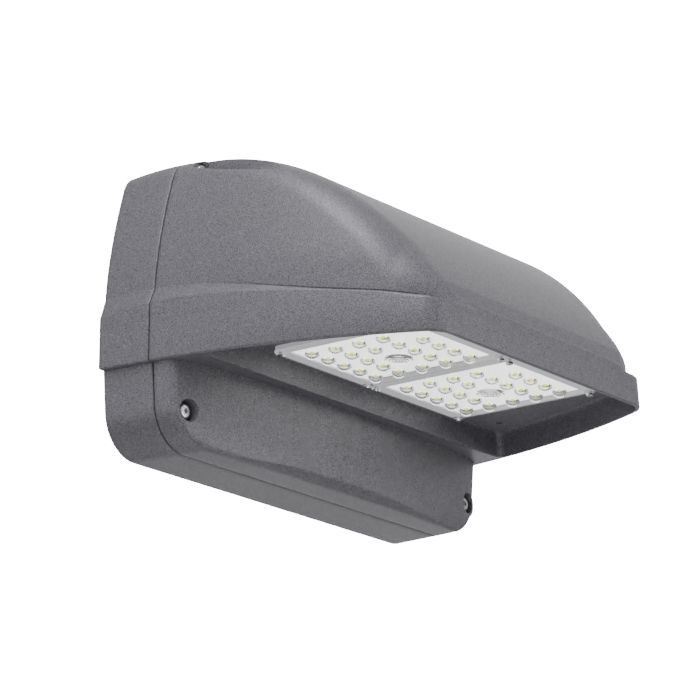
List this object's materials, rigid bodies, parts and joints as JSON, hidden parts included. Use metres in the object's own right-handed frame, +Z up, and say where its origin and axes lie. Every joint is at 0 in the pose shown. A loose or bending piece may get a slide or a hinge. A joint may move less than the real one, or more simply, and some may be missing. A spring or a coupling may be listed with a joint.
{
  "type": "led wall pack",
  "caption": "Full cut-off LED wall pack with a curved cast hood, stepped skirt band and twin clear lens modules that shine straight down.",
  "frame": {"origin": "on the wall plane, mid width, level with the lower edge of the skirt band", "axes": "+X along the wall, to the right seen from in front; +Y into the wall; +Z up. The light stands out towards -Y."},
  "size_m": [0.403, 0.268, 0.2298],
  "materials": {
    "casting": "fine textured dark grey powder coat on die-cast aluminium",
    "rubber": "dull",
    "green_screw": "green passivated",
    "screw_steel": "stainless",
    "spring_steel": "stainless",
    "nylon": "satin",
    "tray_steel": "galvanised",
    "driver_case": "anodised",
    "lead_jacket": "satin",
    "pad": "dull",
    "board": "white solder mask",
    "diode": "yellow phosphor",
    "optic": "clear moulded"
  },
  "bodies": {
    "wall_box": {"back_box": "casting", "wall_gasket": "rubber", "wire_grommet": "rubber", "ground_screw": "green_screw", "terminal_block": "nylon", "terminal_screws": "screw_steel", "seam_gasket": "rubber"},
    "housing": {"front_housing": "casting", "driver_tray": "tray_steel", "tray_screws": "screw_steel", "led_driver": "driver_case", "driver_screws": "screw_steel", "supply_plug": "nylon", "supply_lead": "lead_jacket", "output_lead_left": "lead_jacket", "output_lead_right": "lead_jacket", "lead_grommets": "rubber", "thermal_pad_left": "pad", "thermal_pad_right": "pad", "led_board_left": "board", "led_board_right": "board", "leds_left": "diode", "leds_right": "diode", "lens_gasket_left": "rubber", "lens_gasket_right": "rubber", "lens_left": "optic", "lens_right": "optic", "lens_screws": "screw_steel"},
    "screw_top_left": {"cover_screw_top_left": "screw_steel", "screw_clip_top_left": "spring_steel"},
    "screw_top_right": {"cover_screw_top_right": "screw_steel", "screw_clip_top_right": "spring_steel"},
    "screw_low_left": {"cover_screw_low_left": "screw_steel", "screw_clip_low_left": "spring_steel"},
    "screw_low_right": {"cover_screw_low_right": "screw_steel", "screw_clip_low_right": "spring_steel"}
  },
  "joints": [
    {"name": "housing_lift_off", "type": "slide", "parent": "wall_box", "child": "housing", "axis": [0, -1, 0], "range_m": [0, 0.08]},
    {"name": "screw_top_left_slide", "type": "slide", "parent": "housing", "child": "screw_top_left", "axis": [0, -1, 0], "range_m": [0, 0.0055]},
    {"name": "screw_top_right_slide", "type": "slide", "parent": "housing", "child": "screw_top_right", "axis": [0, -1, 0], "range_m": [0, 0.0055]},
    {"name": "screw_low_left_slide", "type": "slide", "parent": "housing", "child": "screw_low_left", "axis": [0, -1, 0], "range_m": [0, 0.0055]},
    {"name": "screw_low_right_slide", "type": "slide", "parent": "housing", "child": "screw_low_right", "axis": [0, -1, 0], "range_m": [0, 0.0055]}
  ]
}
